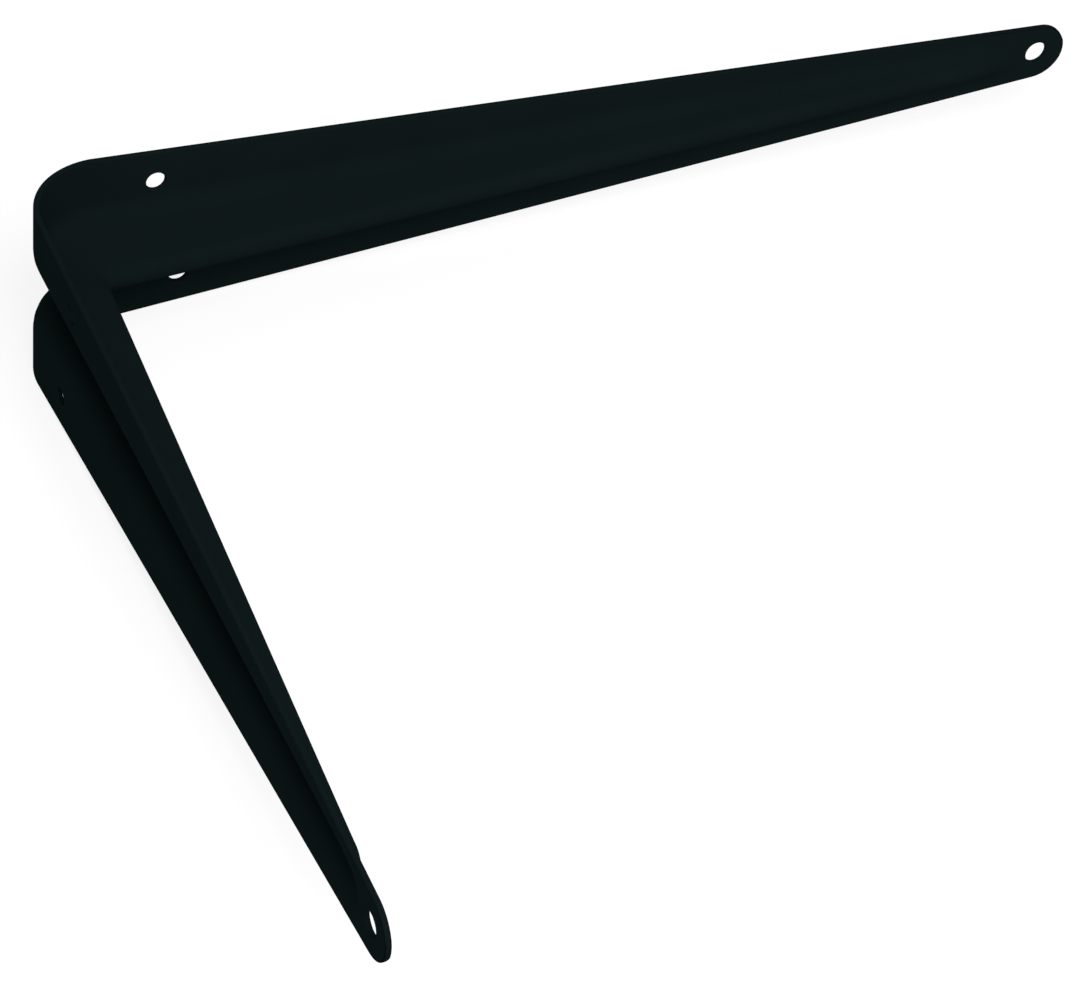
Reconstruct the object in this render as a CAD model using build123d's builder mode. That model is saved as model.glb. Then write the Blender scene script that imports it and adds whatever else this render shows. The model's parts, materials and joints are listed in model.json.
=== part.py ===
"""Pressed steel shelf bracket: one tapered sheet, folded square, with a ridge pressed along both arms.

The frame is the bracket's own, as it is fixed. The wall is the plane X = 0, the underside of the shelf
is the plane Z = 0, and the origin is where they meet, at mid width. The wall arm runs down along -Z,
the shelf arm runs out along +X, and the ridge stands into the angle between them.
"""
from build123d import *
from math import asin, atan2, cos, hypot, sin, tan
import os

# Driving dimensions, in millimetres
wall_arm = 250.0            # wall arm, from the shelf's underside to its tip
shelf_arm = 200.0           # shelf arm, from the wall to its tip
sheet = 1.2                 # thickness of the steel sheet
crest_fold = 1.2            # inside radius of the fold, along the top of the ridge
fold_width = 42.2           # width across the flanges at the fold
tip_width = 14.0            # width of the rounded tips
ridge_rise = 14.2           # height of the ridge above the flanges at the fold
ridge_base = 13.4           # width of the ridge at its foot at the fold, before rounding
end_rise = 3.4              # height of the ridge where its run-out begins
end_base = 9.0              # width of the ridge at its foot where its run-out begins, before rounding
run_out = 12.0              # length over which the ridge dies out into the tip
tip_flat = 13.0             # length of the flat tip beyond the ridge
crest_radius = 3.0          # rounding along the top of the ridge
foot_radius = 5.0           # rounding where the ridge leaves the flanges
side_hole = 4.2             # diameter of the two screw holes in the flanges of each arm
side_hole_spacing = 25.5    # across the arm, from one side hole to the other
first_side_hole = 30.8      # along the arm, from the corner to the nearer side hole
second_side_hole = 36.3     # along the arm, from the corner to the further side hole
tip_hole = 5.2              # diameter of the screw hole in each tip
tip_hole_inset = 7.0        # along the arm, from its end to the centre of the tip hole

# Outer radius of the fold, which turns about one line from the top of the ridge to the back of the flanges
fold_radius = crest_fold + ridge_rise + sheet

# How far a cutting shape reaches past the sheet
overcut = 5.0

# The back face of each arm, with X across the bracket, Y along the arm from the corner and Z inwards
wall_back = Plane(origin=(0, 0, 0), x_dir=(0, -1, 0), z_dir=(1, 0, 0))
shelf_back = Plane(origin=(0, 0, 0), x_dir=(0, 1, 0), z_dir=(0, 0, -1))

# The sheet's two faces: height above the back, and radii of the ridge's foot and crest
inner_face = (sheet, foot_radius, crest_radius)
outer_face = (0, foot_radius + sheet, crest_radius - sheet)


def across(back, along):
    """The plane that crosses an arm at a distance from the corner, with Y into the angle."""
    return Plane(origin=back.from_local_coords(Vector(0, along, 0)), x_dir=back.x_dir, z_dir=-back.y_dir)


def flank_slope(base, rise):
    """The angle between a flange and the flank of a ridge."""
    reach = hypot(base / 2, rise - crest_radius)
    return atan2(rise - crest_radius, base / 2) + asin(crest_radius / reach)


def ridge_section(width, base, rise):
    """The sheet cut across an arm: flat flanges, and the ridge between them with a rounded foot and crest."""
    slope = flank_slope(base, rise)
    foot = base / 2 + foot_radius * tan(slope / 2)
    crest_centre = sheet + rise - crest_radius
    with BuildSketch() as section:
        with BuildLine():
            for height, foot_arc, crest_arc in (inner_face, outer_face):
                flank_foot = (foot - foot_arc * sin(slope), sheet + foot_radius - foot_arc * cos(slope))
                flank_top = (crest_arc * sin(slope), crest_centre + crest_arc * cos(slope))
                flange = Line((width / 2, height), (foot, height))
                TangentArc(flange @ 1, flank_foot, tangent=flange % 1)
                flank = Line(flank_foot, flank_top)
                TangentArc(flank @ 1, (0, crest_centre + crest_arc), tangent=flank % 1)
            Line((width / 2, 0), (width / 2, sheet))
            mirror(about=Plane.YZ)
        make_face()
    return section.face()


def flat_section(width):
    """The sheet cut across a flat tip, divided where the ridge's foot, flank and crest run into it."""
    slope = flank_slope(end_base, end_rise)
    foot = end_base / 2 + foot_radius * tan(slope / 2)
    flank = hypot(
        foot - (foot_radius + crest_radius) * sin(slope),
        end_rise - (foot_radius + crest_radius) * (1 - cos(slope)),
    )
    corners = []
    for side, (height, foot_arc, crest_arc) in ((1, inner_face), (-1, outer_face)):
        ridge_run = foot_arc * slope + flank + crest_arc * slope
        crest_end = end_base / 2 * crest_arc * slope / ridge_run
        flank_end = crest_end + end_base / 2 * flank / ridge_run
        half = (width / 2, end_base / 2, flank_end, crest_end)
        corners += [(side * x, height) for x in half] + [(-side * x, height) for x in reversed(half)]
    return Face(Wire.make_polygon(corners))


def blank_outline(length):
    """The flat outline of an arm from the fold on: straight sides that run into a round tip."""
    with BuildSketch() as outline:
        with BuildLine():
            Line((-fold_width / 2, fold_radius), (fold_width / 2, fold_radius))
            CenterArc((0, length - tip_width / 2), tip_width / 2, 0, 360)
        make_hull()
    return outline.sketch


with BuildPart() as bracket:
    for back, length in ((wall_back, wall_arm), (shelf_back, shelf_arm)):
        # One arm, left wide, with the ridge falling from the fold and dying out into a flat tip
        wide = fold_width + 2 * overcut
        sections = (
            across(back, fold_radius) * ridge_section(wide, ridge_base, ridge_rise),
            across(back, length - tip_flat - run_out) * ridge_section(wide, end_base, end_rise),
            across(back, length - tip_flat) * flat_section(wide),
            across(back, length) * flat_section(wide),
        )
        loft(sections=sections, ruled=True)

        # The arm trimmed to its tapered outline
        with BuildSketch(back):
            with Locations((0, fold_radius)):
                Rectangle(wide + overcut, length - fold_radius + overcut, align=(Align.CENTER, Align.MIN))
            add(blank_outline(length), mode=Mode.SUBTRACT)
        extrude(amount=sheet + ridge_rise + overcut, mode=Mode.SUBTRACT)

        # The screw holes: a staggered pair in the flanges and one in the tip
        with BuildSketch(back):
            with Locations((side_hole_spacing / 2, second_side_hole), (-side_hole_spacing / 2, first_side_hole)):
                Circle(side_hole / 2)
            with Locations((0, length - tip_hole_inset)):
                Circle(tip_hole / 2)
        extrude(amount=sheet + ridge_rise, mode=Mode.SUBTRACT)

    # The fold: the arms' shared section, turned through a right angle
    with BuildSketch(across(shelf_back, fold_radius)):
        add(ridge_section(fold_width, ridge_base, ridge_rise))
    revolve(axis=Axis((fold_radius, 0, -fold_radius), (0, -1, 0)), revolution_arc=90)

bracket.part.label = "bracket"
os.makedirs("parts", exist_ok=True)
export_step(bracket.part, "parts/bracket.step")
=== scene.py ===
"""A black pressed steel shelf bracket, lying on its side on a white table.

The bracket's shape follows a rule, so Geometry Nodes press it: the section of a sheet, with a ridge
between two flanges, is carried along the wall arm, round the fold and along the shelf arm, and the
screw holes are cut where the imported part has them. Sizes are in metres, in the frame of that part.
"""
import json
from math import pi, radians

import bpy
from bpy.props import FloatProperty, FloatVectorProperty, PointerProperty
from mathutils import Matrix, Vector


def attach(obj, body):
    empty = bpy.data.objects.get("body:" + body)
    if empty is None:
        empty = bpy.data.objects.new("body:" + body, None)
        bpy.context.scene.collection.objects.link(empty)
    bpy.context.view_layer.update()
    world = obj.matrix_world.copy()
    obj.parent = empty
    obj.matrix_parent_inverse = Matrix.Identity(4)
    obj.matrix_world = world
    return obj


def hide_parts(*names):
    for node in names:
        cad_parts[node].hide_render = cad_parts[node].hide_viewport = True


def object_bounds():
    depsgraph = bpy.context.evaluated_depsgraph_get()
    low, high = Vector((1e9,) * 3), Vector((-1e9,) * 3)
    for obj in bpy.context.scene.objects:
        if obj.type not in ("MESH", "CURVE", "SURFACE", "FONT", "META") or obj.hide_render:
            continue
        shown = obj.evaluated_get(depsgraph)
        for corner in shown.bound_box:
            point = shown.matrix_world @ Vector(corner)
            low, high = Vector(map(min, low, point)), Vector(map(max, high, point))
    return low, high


bl_info = {
    "name": "Pressed Shelf Bracket",
    "version": (1, 0, 0),
    "blender": (4, 5, 0),
    "location": "View3D > Sidebar > Bracket",
    "description": "Makes a pressed steel shelf bracket and the table it lies on",
    "category": "Object",
}

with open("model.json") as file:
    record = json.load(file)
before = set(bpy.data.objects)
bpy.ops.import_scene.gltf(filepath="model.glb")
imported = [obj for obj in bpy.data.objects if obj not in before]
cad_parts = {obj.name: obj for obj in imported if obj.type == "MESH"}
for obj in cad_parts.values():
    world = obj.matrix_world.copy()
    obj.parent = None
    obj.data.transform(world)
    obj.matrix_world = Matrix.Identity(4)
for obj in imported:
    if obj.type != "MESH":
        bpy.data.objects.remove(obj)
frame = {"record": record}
cad_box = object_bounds()
holes = [mount for mount in frame["record"]["mounts"] if mount["kind"] == "bore"]

MM = 0.001

# Rows of the mesh along each arm, from the fold to the tip, and round the fold
STRAIGHT_ROWS, RUN_OUT_ROWS, TIP_ROWS, FOLD_ROWS = 48, 14, 18, 20
ARM_ROWS = STRAIGHT_ROWS + RUN_OUT_ROWS + TIP_ROWS
ROWS = 2 * ARM_ROWS + FOLD_ROWS + 1

# Columns of the mesh from the middle of the ridge to the edge of a flange
CREST_COLUMNS, FLANK_COLUMNS, FOOT_COLUMNS, FLANGE_COLUMNS = 5, 5, 6, 6
RIDGE_COLUMNS = CREST_COLUMNS + FLANK_COLUMNS + FOOT_COLUMNS
HALF_COLUMNS = RIDGE_COLUMNS + FLANGE_COLUMNS
COLUMNS = 2 * HALF_COLUMNS + 1

# Sides of a hole, and rings of its cutter from the middle of the sheet to clear of it
HOLE_SIDES = 64
CUTTER_RINGS = 6

# The arc of a rounded rim, and how far its cutter then widens and reaches out, in edge radii
RIM_ARC = radians(82)
RIM_WIDENING, RIM_REACH = 1.5, 0.5

# How sharp an edge is for it to be rounded, the steps of its rounding, and how near points are joined
SHARP_EDGE = radians(60)
ROUNDING_STEPS = 3
JOIN_DISTANCE = 0.002 * MM

# The paint's clouds: how many to a metre, and how far they change its colour and its roughness
CLOUDS = 40.0
CLOUD_COLOUR, CLOUD_ROUGHNESS = 0.15, 0.06

# The relief of the paint's grain
GRAIN_STRENGTH, GRAIN_HEIGHT = 0.25, 0.04 * MM

# How bright the table looks by itself, and how much of its look that makes up beside the light it gets
TABLE_GLOW, GLOW_SHARE = 1.1, 0.75

# The softbox: its width, the point that it faces, and its direction and distance from there
SOFTBOX_WIDTH = 0.7
SOFTBOX_TARGET = Vector((0.05, 0, -0.1))
SOFTBOX_DIRECTION = Vector((0.6, 0.75, 0.05))
SOFTBOX_DISTANCE = 1.2

# The camera's sensor in millimetres, its place, and its right, up and backward directions
SENSOR_WIDTH = 36
CAMERA_PLACE = Vector((0.59093, 0.49821, 0.19546))
CAMERA_AXES = Matrix((
    (0.40959, 0.08794, -0.90802),
    (-0.63613, 0.74096, -0.21518),
    (0.65389, 0.66576, 0.35943),
))


def length(name, default, description):
    """A size of the bracket that a user can change."""
    return FloatProperty(
        name=name, description=description, default=default, min=0, unit="LENGTH", precision=4,
    )


class BracketSizes(bpy.types.PropertyGroup):
    """The sizes of the pressed sheet."""

    wall_arm: length("Wall arm", round(-cad_box[0].z, 4), "From the shelf's underside to the wall arm's tip")
    shelf_arm: length("Shelf arm", round(cad_box[1].x, 4), "From the wall to the shelf arm's tip")
    sheet: length("Sheet", 1.2 * MM, "Thickness of the sheet")
    crest_fold: length("Crest fold", 1.2 * MM, "Inside radius of the fold, along the top of the ridge")
    fold_width: length("Fold width", cad_box[1].y - cad_box[0].y, "Width across the flanges at the fold")
    tip_width: length("Tip width", 14.0 * MM, "Width of the rounded tips")
    ridge_rise: length("Ridge rise", 14.2 * MM, "Height of the ridge at the fold")
    ridge_base: length("Ridge base", 13.4 * MM, "Width of the ridge at the fold, before rounding")
    end_rise: length("End rise", 3.4 * MM, "Height of the ridge where its run-out begins")
    end_base: length("End base", 9.0 * MM, "Width of the ridge where its run-out begins, before rounding")
    run_out: length("Run-out", 16.0 * MM, "Length over which the ridge dies out")
    tip_flat: length("Tip flat", 9.0 * MM, "Length of the flat tip beyond the ridge")
    crest_radius: length("Crest radius", 3.0 * MM, "Rounding along the top of the ridge")
    foot_radius: length("Foot radius", 5.0 * MM, "Rounding where the ridge leaves the flanges")
    edge_radius: length("Edge radius", 0.3 * MM, "Rounding of the painted edges and rims")


class PaintSettings(bpy.types.PropertyGroup):
    """The matte paint on the steel."""

    colour: FloatVectorProperty(
        name="Colour", description="Colour of the paint", subtype="COLOR",
        default=(0.0046, 0.0085, 0.0088), min=0, max=1,
    )
    roughness: FloatProperty(
        name="Roughness", description="How far the paint spreads a reflection",
        default=0.8, min=0, max=1, subtype="FACTOR",
    )
    gloss: FloatProperty(
        name="Gloss", description="Strength of the paint's reflections",
        default=0.0005, min=0, max=1, subtype="FACTOR",
    )
    grain: FloatProperty(
        name="Grain", description="Width of the fine grain in the paint",
        default=0.9 * MM, min=0.1 * MM, unit="LENGTH", precision=4,
    )


class StageSettings(bpy.types.PropertyGroup):
    """The table, the light and the camera."""

    table_colour: FloatVectorProperty(
        name="Table", description="Colour of the table", subtype="COLOR",
        default=(0.8, 0.8, 0.8), min=0, max=1,
    )
    table_size: FloatProperty(
        name="Table size", description="Length of the table's sides", default=3.0, min=0.5, unit="LENGTH",
    )
    softbox_power: FloatProperty(
        name="Softbox", description="Power of the softbox", default=12.6, min=0, unit="POWER",
    )
    room_light: FloatProperty(
        name="Room light", description="Strength of the even light from the room", default=0.48, min=0, max=1,
    )
    lens: FloatProperty(
        name="Lens", description="Focal length of the camera", default=128.27, min=10, unit="CAMERA",
    )


class Field:
    """A number in a node tree. Arithmetic on it adds Math nodes to the tree."""

    def __init__(self, socket):
        self.socket = socket

    def __add__(self, other):
        return calc("ADD", self, other)

    def __sub__(self, other):
        return calc("SUBTRACT", self, other)

    def __rsub__(self, other):
        return calc("SUBTRACT", other, self)

    def __mul__(self, other):
        return calc("MULTIPLY", self, other)

    def __truediv__(self, other):
        return calc("DIVIDE", self, other)

    __radd__ = __add__
    __rmul__ = __mul__


def calc(operation, *values):
    """A Math node on fields and plain numbers."""
    tree = next(value.socket.id_data for value in values if isinstance(value, Field))
    node = tree.nodes.new("ShaderNodeMath")
    node.operation = operation
    for socket, value in zip(node.inputs, values):
        if isinstance(value, Field):
            tree.links.new(value.socket, socket)
        else:
            socket.default_value = value
    return Field(node.outputs[0])


def sine(angle):
    return calc("SINE", angle)


def cosine(angle):
    return calc("COSINE", angle)


def root(value):
    return calc("SQRT", calc("MAXIMUM", value, 0))


def share(value, start, end):
    """How far a value has come from start to end, kept within 0 and 1."""
    result = calc("DIVIDE", value - start, end - start)
    result.socket.node.use_clamp = True
    return result


def blend(start, end, amount):
    return start + (end - start) * amount


def add_node(tree, kind, **inputs):
    """A node with its inputs set to values, or linked to sockets and fields."""
    node = tree.nodes.new(kind)
    for key, value in inputs.items():
        socket = node.inputs[key.replace("_", " ")]
        value = value.socket if isinstance(value, Field) else value
        if isinstance(value, bpy.types.NodeSocket):
            tree.links.new(value, socket)
        else:
            socket.default_value = value
    return node


def new_tree(name, sizes):
    """A geometry node tree with one geometry output, and its named sizes as fields."""
    tree = bpy.data.node_groups.new(name, "GeometryNodeTree")
    tree.interface.new_socket("Mesh", in_out="OUTPUT", socket_type="NodeSocketGeometry")
    for size in sizes:
        socket = tree.interface.new_socket(size, in_out="INPUT", socket_type="NodeSocketFloat")
        socket.subtype = "DISTANCE"
    start = tree.nodes.new("NodeGroupInput")
    return tree, {size: Field(start.outputs[size]) for size in sizes}


def ridge_profile(column, size, base, rise):
    """Half of the ridge's section at each column: distance from its middle, height, and width of its foot."""
    crest_radius, foot_radius = size["crest_radius"], size["foot_radius"]
    flank_start = CREST_COLUMNS + FLANK_COLUMNS
    on_crest = share(column, 0, CREST_COLUMNS)
    on_flank = share(column, CREST_COLUMNS, flank_start)
    on_foot = share(column, flank_start, RIDGE_COLUMNS)
    half, lift = base * 0.5, rise - crest_radius
    slope = calc("ARCTAN2", lift, half) + calc("ARCSINE", crest_radius / root(half * half + lift * lift))
    foot = half + foot_radius * calc("TANGENT", slope * 0.5)
    left = slope * (1 - on_foot)
    flank_run = foot - (foot_radius + crest_radius) * sine(slope)
    flank_drop = lift + crest_radius * cosine(slope) - foot_radius * (1 - cosine(slope))
    across = crest_radius * sine(slope * on_crest) + flank_run * on_flank
    across = across + foot_radius * (sine(slope) - sine(left))
    height = lift + crest_radius * cosine(slope * on_crest) - flank_drop * on_flank
    height = height + foot_radius * (cosine(slope) - cosine(left))
    return across, height, foot


def hole_cutter():
    """The tree that makes a round cutter, flared at both faces of the sheet to leave rounded rims."""
    tree, size = new_tree("hole_cutter", ("radius", "sheet", "edge_radius"))
    cylinder = add_node(
        tree, "GeometryNodeMeshCylinder", Vertices=HOLE_SIDES, Side_Segments=2 * CUTTER_RINGS,
        Radius=1.0, Depth=2.0,
    )
    place = add_node(
        tree, "ShaderNodeSeparateXYZ", Vector=tree.nodes.new("GeometryNodeInputPosition").outputs[0]
    )
    x, y, z = (Field(socket) for socket in place.outputs)
    ring = calc("ABSOLUTE", z) * CUTTER_RINGS
    rounded = share(ring, 1, CUTTER_RINGS - 1) * RIM_ARC
    clear = share(ring, CUTTER_RINGS - 1, CUTTER_RINGS)
    edge = size["edge_radius"]
    radius = size["radius"] + edge * (1 - cosine(rounded)) + edge * clear * RIM_WIDENING
    depth = (size["sheet"] * 0.5 - edge) * share(ring, 0, 1) + edge * sine(rounded) + edge * clear * RIM_REACH
    moved = add_node(tree, "ShaderNodeCombineXYZ", X=x * radius, Y=y * radius, Z=calc("SIGN", z) * depth)
    cutter = add_node(
        tree, "GeometryNodeSetPosition", Geometry=cylinder.outputs["Mesh"], Position=moved.outputs[0]
    )
    add_node(tree, "NodeGroupOutput", Mesh=cutter.outputs[0])
    return tree


def pressed_sheet(material):
    """The tree that presses the sheet, gives it its thickness and cuts its screw holes."""
    tree, size = new_tree("pressed_sheet", list(BracketSizes.__annotations__))
    fold_radius = size["crest_fold"] + size["ridge_rise"] + size["sheet"]
    grid = add_node(tree, "GeometryNodeMeshGrid", Vertices_X=ROWS, Vertices_Y=COLUMNS)
    index = Field(tree.nodes.new("GeometryNodeInputIndex").outputs[0])
    row = calc("FLOOR", (index + 0.5) / COLUMNS)
    offset = index - row * COLUMNS - HALF_COLUMNS
    column = calc("ABSOLUTE", offset)

    # Rows run from the tip of the wall arm, round the fold, to the tip of the shelf arm
    on_wall = calc("LESS_THAN", row, ARM_ROWS)
    turn = share(row, ARM_ROWS, ARM_ROWS + FOLD_ROWS) * (pi / 2)
    step = calc("MAXIMUM", ARM_ROWS - row, row - ARM_ROWS - FOLD_ROWS)
    arm = blend(size["shelf_arm"], size["wall_arm"], on_wall)
    run_out_start = STRAIGHT_ROWS + RUN_OUT_ROWS
    straight = share(step, 0, STRAIGHT_ROWS)
    fading = share(step, STRAIGHT_ROWS, run_out_start)
    tip = share(step, run_out_start, ARM_ROWS)
    ridge_end = arm - size["tip_flat"] - size["run_out"]
    along = blend(fold_radius, ridge_end, straight) + size["run_out"] * fading
    along = along + size["tip_flat"] * sine(tip * (pi / 2))
    faded = fading * fading * (3 - fading * 2)

    # The outline: straight tapered sides that run into a round tip
    half, tip_radius = size["fold_width"] * 0.5, size["tip_width"] * 0.5
    reach = arm - tip_radius - fold_radius
    taper = calc("ARCTAN2", half, reach) - calc("ARCSINE", tip_radius / root(half * half + reach * reach))
    fall = calc("TANGENT", taper)
    side = half - (along - fold_radius) * fall
    beyond = along - arm + tip_radius
    tip_side = root(tip_radius * tip_radius - beyond * beyond)
    width = blend(side, tip_side, calc("GREATER_THAN", beyond, tip_radius * sine(taper)))

    # The section: the ridge falls from the fold to its end, then dies out
    fold_across, fold_height, fold_foot = ridge_profile(column, size, size["ridge_base"], size["ridge_rise"])
    end_across, end_height, end_foot = ridge_profile(column, size, size["end_base"], size["end_rise"])
    on_flange = share(column, RIDGE_COLUMNS, HALF_COLUMNS)
    across = blend(fold_across, end_across, straight)
    across = across + on_flange * (width - blend(fold_foot, end_foot, straight))
    end_width = half - (ridge_end - fold_radius) * fall
    flat_across = width * (end_across + on_flange * (end_width - end_foot)) / end_width
    across = blend(across, flat_across, faded)
    height = size["sheet"] + blend(fold_height, end_height, straight) * (1 - faded)

    # The section set in place, turned about the fold's axis
    radius = fold_radius - height
    beyond_fold = along - fold_radius
    place = add_node(
        tree, "ShaderNodeCombineXYZ",
        X=fold_radius - radius * cosine(turn) + beyond_fold * (1 - on_wall),
        Y=across * calc("SIGN", offset),
        Z=radius * sine(turn) - fold_radius - beyond_fold * on_wall,
    )
    face = add_node(
        tree, "GeometryNodeSetPosition", Geometry=grid.outputs["Mesh"], Position=place.outputs[0]
    )
    face = add_node(tree, "GeometryNodeMergeByDistance", Geometry=face.outputs[0], Distance=JOIN_DISTANCE)

    # The sheet's thickness, from the pressed face outwards
    back = add_node(
        tree, "GeometryNodeExtrudeMesh", Mesh=face.outputs[0], Offset_Scale=size["sheet"], Individual=False
    )
    front = add_node(tree, "GeometryNodeFlipFaces", Mesh=face.outputs[0])
    both = tree.nodes.new("GeometryNodeJoinGeometry")
    for part in (front, back):
        tree.links.new(part.outputs[0], both.inputs[0])
    solid = add_node(tree, "GeometryNodeMergeByDistance", Geometry=both.outputs[0], Distance=JOIN_DISTANCE)

    # The screw holes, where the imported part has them
    cut = tree.nodes.new("GeometryNodeMeshBoolean")
    cut.operation = "DIFFERENCE"
    cut.solver = "EXACT"
    tree.links.new(solid.outputs[0], cut.inputs["Mesh 1"])
    cutter_tree = hole_cutter()
    for hole in holes:
        cutter = tree.nodes.new("GeometryNodeGroup")
        cutter.node_tree = cutter_tree
        cutter.inputs["radius"].default_value = hole["dims"]["r_mm"] * MM
        for name in ("sheet", "edge_radius"):
            tree.links.new(size[name].socket, cutter.inputs[name])
        placed = add_node(
            tree, "GeometryNodeTransform", Geometry=cutter.outputs[0], Translation=hole["pos_m"],
            Rotation=Vector(hole["axis"]).to_track_quat("Z", "Y").to_euler(),
        )
        tree.links.new(placed.outputs[0], cut.inputs["Mesh 2"])
    whole = add_node(tree, "GeometryNodeRealizeInstances", Geometry=cut.outputs["Mesh"])
    smooth = add_node(tree, "GeometryNodeSetShadeSmooth", Geometry=whole.outputs[0])
    painted = add_node(tree, "GeometryNodeSetMaterial", Geometry=smooth.outputs[0], Material=material)
    add_node(tree, "NodeGroupOutput", Mesh=painted.outputs[0])
    return tree


def new_material(name):
    """A material with an empty node tree."""
    material = bpy.data.materials.new(name)
    material.use_nodes = True
    material.node_tree.nodes.clear()
    return material, material.node_tree


def black_paint(settings):
    """Matte black paint with a fine grain, and slight clouds in its colour and roughness."""
    material, tree = new_material("black_paint")
    place = tree.nodes.new("ShaderNodeTexCoord").outputs["Object"]
    grain = add_node(tree, "ShaderNodeTexNoise", Vector=place, Scale=1 / settings.grain, Detail=2.0)
    clouds = add_node(tree, "ShaderNodeTexNoise", Vector=place, Scale=CLOUDS, Detail=3.0)
    mix = add_node(tree, "ShaderNodeMix")
    mix.data_type = "RGBA"
    tree.links.new(clouds.outputs["Fac"], mix.inputs["Factor"])
    ends = [socket for socket in mix.inputs if socket.type == "RGBA"]
    for end, strength in zip(ends, (1 - CLOUD_COLOUR, 1 + CLOUD_COLOUR)):
        end.default_value = (*(strength * value for value in settings.colour), 1)
    colour = next(socket for socket in mix.outputs if socket.type == "RGBA")
    roughness = add_node(
        tree, "ShaderNodeMapRange", Value=clouds.outputs["Fac"],
        To_Min=settings.roughness - CLOUD_ROUGHNESS, To_Max=settings.roughness + CLOUD_ROUGHNESS,
    )
    bump = add_node(
        tree, "ShaderNodeBump", Height=grain.outputs["Fac"], Strength=GRAIN_STRENGTH, Distance=GRAIN_HEIGHT
    )
    paint = add_node(
        tree, "ShaderNodeBsdfPrincipled", Base_Color=colour, Roughness=roughness.outputs["Result"],
        Specular_IOR_Level=settings.gloss, Normal=bump.outputs["Normal"],
    )
    add_node(tree, "ShaderNodeOutputMaterial", Surface=paint.outputs["BSDF"])
    return material


def seen_rays(tree):
    """1 for the rays that show a surface to the camera, in a mirror or through glass, and 0 for the rest."""
    path = tree.nodes.new("ShaderNodeLightPath")
    seen, mirrored, through = (
        Field(path.outputs[name]) for name in ("Is Camera Ray", "Is Glossy Ray", "Is Transmission Ray")
    )
    return calc("MAXIMUM", seen, calc("MAXIMUM", mirrored, through))


class BRACKET_OT_press(bpy.types.Operator):
    """Press the bracket out of its sheet and paint it"""

    bl_idname = "bracket.press"
    bl_label = "Press Bracket"

    def execute(self, context):
        sizes = context.scene.bracket_sizes
        material = black_paint(context.scene.bracket_paint)
        maker = bpy.data.objects.new("bracket_maker", bpy.data.meshes.new("bracket_maker"))
        context.scene.collection.objects.link(maker)
        press = maker.modifiers.new("press", "NODES")
        press.node_group = pressed_sheet(material)
        for item in press.node_group.interface.items_tree:
            if item.in_out == "INPUT":
                press[item.identifier] = getattr(sizes, item.name)
        edges = maker.modifiers.new("rounded_edges", "BEVEL")
        edges.width = sizes.edge_radius
        edges.segments = ROUNDING_STEPS
        edges.limit_method = "ANGLE"
        edges.angle_limit = SHARP_EDGE
        edges.use_clamp_overlap = False
        joined = maker.modifiers.new("joined_points", "WELD")
        joined.merge_threshold = JOIN_DISTANCE
        maker.modifiers.new("even_shading", "WEIGHTED_NORMAL")

        depsgraph = context.evaluated_depsgraph_get()
        mesh = bpy.data.meshes.new_from_object(maker.evaluated_get(depsgraph), depsgraph=depsgraph)
        mesh.name = "pressed_bracket"
        bpy.data.objects.remove(maker)
        bracket = bpy.data.objects.new("pressed_bracket", mesh)
        context.scene.collection.objects.link(bracket)
        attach(bracket, "root")
        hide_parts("bracket")
        return {"FINISHED"}


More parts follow.
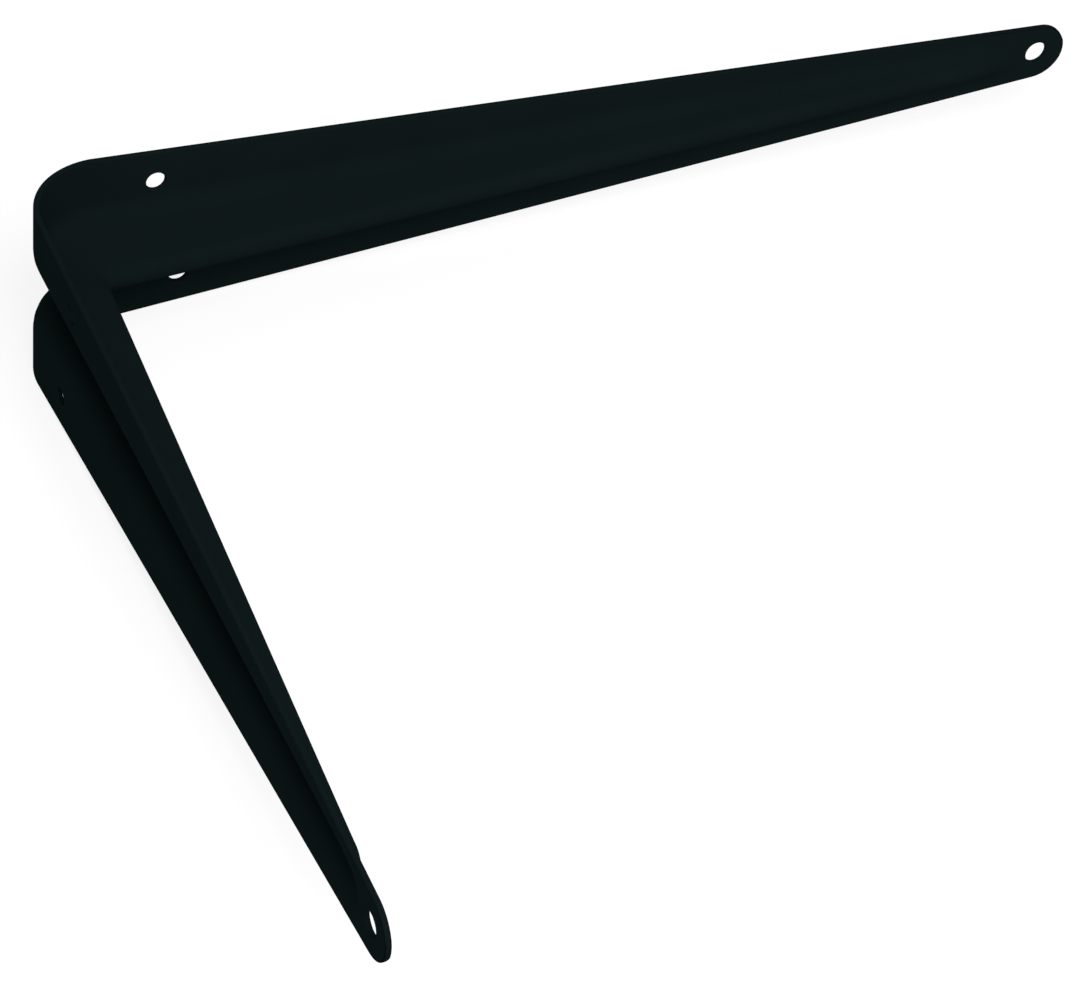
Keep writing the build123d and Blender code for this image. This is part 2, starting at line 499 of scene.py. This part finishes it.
class BRACKET_OT_stage(bpy.types.Operator):
    """Make the table, the light and the camera"""

    bl_idname = "bracket.stage"
    bl_label = "Make Stage"

    def execute(self, context):
        settings = context.scene.bracket_stage
        scene = context.scene
        scene.view_settings.view_transform = "Standard"

        # The table, which the bracket lies on with its -Y side, clear when seen from below
        half, level = settings.table_size / 2, cad_box[0].y
        mesh = bpy.data.meshes.new("table")
        corners = [(-half, level, -half), (-half, level, half), (half, level, half), (half, level, -half)]
        mesh.from_pydata(corners, [], [(0, 1, 2, 3)])
        table = bpy.data.objects.new("table", mesh)
        scene.collection.objects.link(table)
        material, tree = new_material("white_table")
        seen = seen_rays(tree)
        white = add_node(tree, "ShaderNodeBsdfDiffuse", Color=(*settings.table_colour, 1))
        glow = add_node(tree, "ShaderNodeEmission", Strength=TABLE_GLOW)
        bright = add_node(tree, "ShaderNodeMixShader", Fac=seen * GLOW_SHARE)
        tree.links.new(white.outputs[0], bright.inputs[1])
        tree.links.new(glow.outputs[0], bright.inputs[2])
        below = tree.nodes.new("ShaderNodeNewGeometry").outputs["Backfacing"]
        sided = add_node(tree, "ShaderNodeMixShader", Fac=below)
        tree.links.new(bright.outputs[0], sided.inputs[1])
        tree.links.new(tree.nodes.new("ShaderNodeBsdfTransparent").outputs[0], sided.inputs[2])
        add_node(tree, "ShaderNodeOutputMaterial", Surface=sided.outputs[0])
        mesh.materials.append(material)

        # A room that is seen white and lights the bracket evenly
        world = bpy.data.worlds.new("white_room")
        world.use_nodes = True
        scene.world = world
        tree = world.node_tree
        strength = blend(settings.room_light, 1.0, seen_rays(tree))
        tree.links.new(strength.socket, tree.nodes["Background"].inputs["Strength"])
        tree.nodes["Background"].inputs["Color"].default_value = (1, 1, 1, 1)

        # A softbox over the wall arm, on the camera's side
        lamp = bpy.data.lights.new("softbox", "AREA")
        lamp.shape = "DISK"
        lamp.size = SOFTBOX_WIDTH
        lamp.energy = settings.softbox_power
        softbox = bpy.data.objects.new("softbox", lamp)
        place = SOFTBOX_TARGET + SOFTBOX_DISTANCE * SOFTBOX_DIRECTION.normalized()
        softbox.matrix_world = Matrix.LocRotScale(place, SOFTBOX_DIRECTION.to_track_quat("Z", "Y"), None)
        scene.collection.objects.link(softbox)

        # The camera, where the photograph was taken from
        lens = bpy.data.cameras.new("camera")
        lens.sensor_width = SENSOR_WIDTH
        lens.sensor_fit = "HORIZONTAL"
        lens.lens = settings.lens
        lens.clip_start = 0.01
        camera = bpy.data.objects.new("camera", lens)
        turn = CAMERA_AXES.transposed().to_quaternion()
        camera.matrix_world = Matrix.LocRotScale(CAMERA_PLACE, turn, None)
        scene.collection.objects.link(camera)
        scene.camera = camera
        return {"FINISHED"}


class BRACKET_PT_sidebar(bpy.types.Panel):
    """The bracket's settings and steps"""

    bl_idname = "BRACKET_PT_sidebar"
    bl_label = "Shelf Bracket"
    bl_space_type = "VIEW_3D"
    bl_region_type = "UI"
    bl_category = "Bracket"

    def draw(self, context):
        scene = context.scene
        for settings in (scene.bracket_sizes, scene.bracket_paint, scene.bracket_stage):
            for name in settings.__annotations__:
                self.layout.prop(settings, name)
        for operator in (BRACKET_OT_press, BRACKET_OT_stage):
            self.layout.operator(operator.bl_idname)


CLASSES = (
    BracketSizes, PaintSettings, StageSettings, BRACKET_OT_press, BRACKET_OT_stage, BRACKET_PT_sidebar,
)


def register():
    for each in CLASSES:
        bpy.utils.register_class(each)
    bpy.types.Scene.bracket_sizes = PointerProperty(type=BracketSizes)
    bpy.types.Scene.bracket_paint = PointerProperty(type=PaintSettings)
    bpy.types.Scene.bracket_stage = PointerProperty(type=StageSettings)


def unregister():
    for name in ("bracket_stage", "bracket_paint", "bracket_sizes"):
        delattr(bpy.types.Scene, name)
    for each in reversed(CLASSES):
        bpy.utils.unregister_class(each)


def main():
    register()
    bpy.ops.bracket.press()
    bpy.ops.bracket.stage()


if __name__ == "__main__":
    main()
